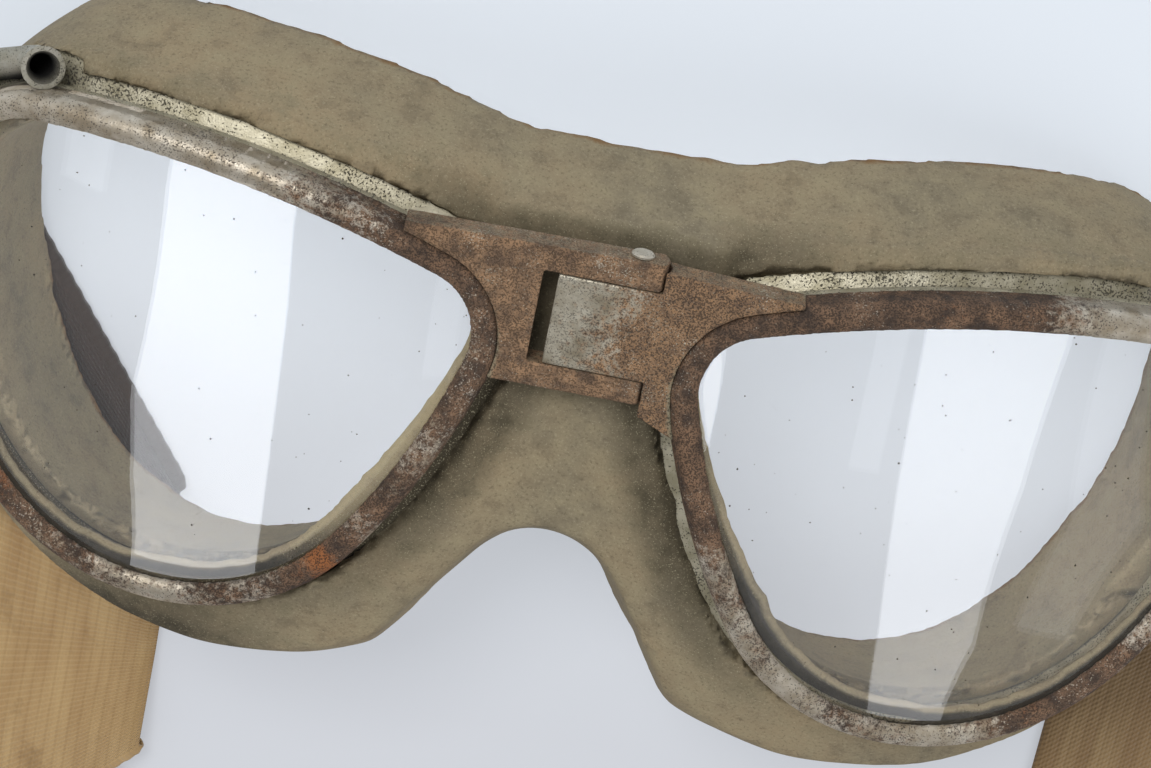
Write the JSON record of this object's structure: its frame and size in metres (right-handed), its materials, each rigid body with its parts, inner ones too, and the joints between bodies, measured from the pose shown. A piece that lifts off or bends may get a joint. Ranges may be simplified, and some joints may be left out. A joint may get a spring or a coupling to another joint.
{
  "type": "flying goggles",
  "caption": "Hinged flying goggles with curved glass lenses in rusted metal rims, a rubber face cushion, wire strap loops and an adjustable webbing strap.",
  "frame": {"origin": "bottom centre of the bounding box, on the table that the goggles lie on", "axes": "+Z out of the lenses, +Y to the brow, +X to the wearer's left temple"},
  "size_m": [0.23, 0.1788, 0.0451],
  "materials": {
    "rim_metal": "worn nickel plate, pitted and rusted",
    "lens_glass": "clear curved glass",
    "cup_metal": "tarnished sheet",
    "vent_metal": "tarnished tube",
    "screw_steel": "worn steel",
    "bracket_metal": "worn nickel plate",
    "loop_wire": "worn nickel-plated wire",
    "bridge_metal": "rusted steel plate",
    "pin_steel": "rusted steel",
    "cushion_rubber": "aged, matt and dusty",
    "webbing": "ribbed elastic webbing",
    "slide_metal": "worn nickel plate"
  },
  "bodies": {
    "left_frame": {"rim_left": "rim_metal", "lens_left": "lens_glass", "eye_cup_left": "cup_metal", "vent_tube_left": "vent_metal", "rim_screw_left": "screw_steel", "loop_bracket_left": "bracket_metal", "bridge_fork": "bridge_metal", "hinge_pin": "pin_steel", "cushion_left": "cushion_rubber", "cushion_bridge": "cushion_rubber", "strap_left": "webbing", "strap_right": "webbing"},
    "right_frame": {"rim_right": "rim_metal", "lens_right": "lens_glass", "eye_cup_right": "cup_metal", "vent_tube_right": "vent_metal", "rim_screw_right": "screw_steel", "loop_bracket_right": "bracket_metal", "bridge_tongue": "bridge_metal", "cushion_right": "cushion_rubber"},
    "left_strap_loop": {"strap_loop_left": "loop_wire", "strap_end_left": "webbing"},
    "right_strap_loop": {"strap_loop_right": "loop_wire", "strap_end_right": "webbing"},
    "strap_slide": {"strap_slide": "slide_metal"}
  },
  "joints": [
    {"name": "bridge_fold", "type": "hinge", "parent": "left_frame", "child": "right_frame", "pos_m": [-0.00187, 0.04761, 0.0403], "axis": [0, 1, 0], "range_deg": [-8, 25], "deforming": ["cushion_bridge", "strap_right"]},
    {"name": "left_loop_swing", "type": "hinge", "parent": "left_frame", "child": "left_strap_loop", "pos_m": [-0.09966, 0.04387, 0.02518], "axis": [0, 1, 0], "range_deg": [0, 80], "deforming": ["strap_left"]},
    {"name": "right_loop_swing", "type": "hinge", "parent": "right_frame", "child": "right_strap_loop", "pos_m": [0.08711, 0.04387, 0.02518], "axis": [0, -1, 0], "range_deg": [-60, 20], "deforming": ["strap_right"]},
    {"name": "slide_adjust", "type": "slide", "parent": "left_frame", "child": "strap_slide", "axis": [0.9903, -0.1392, 0], "range_m": [-0.015, 0.015], "deforming": ["strap_left", "strap_right"]}
  ]
}
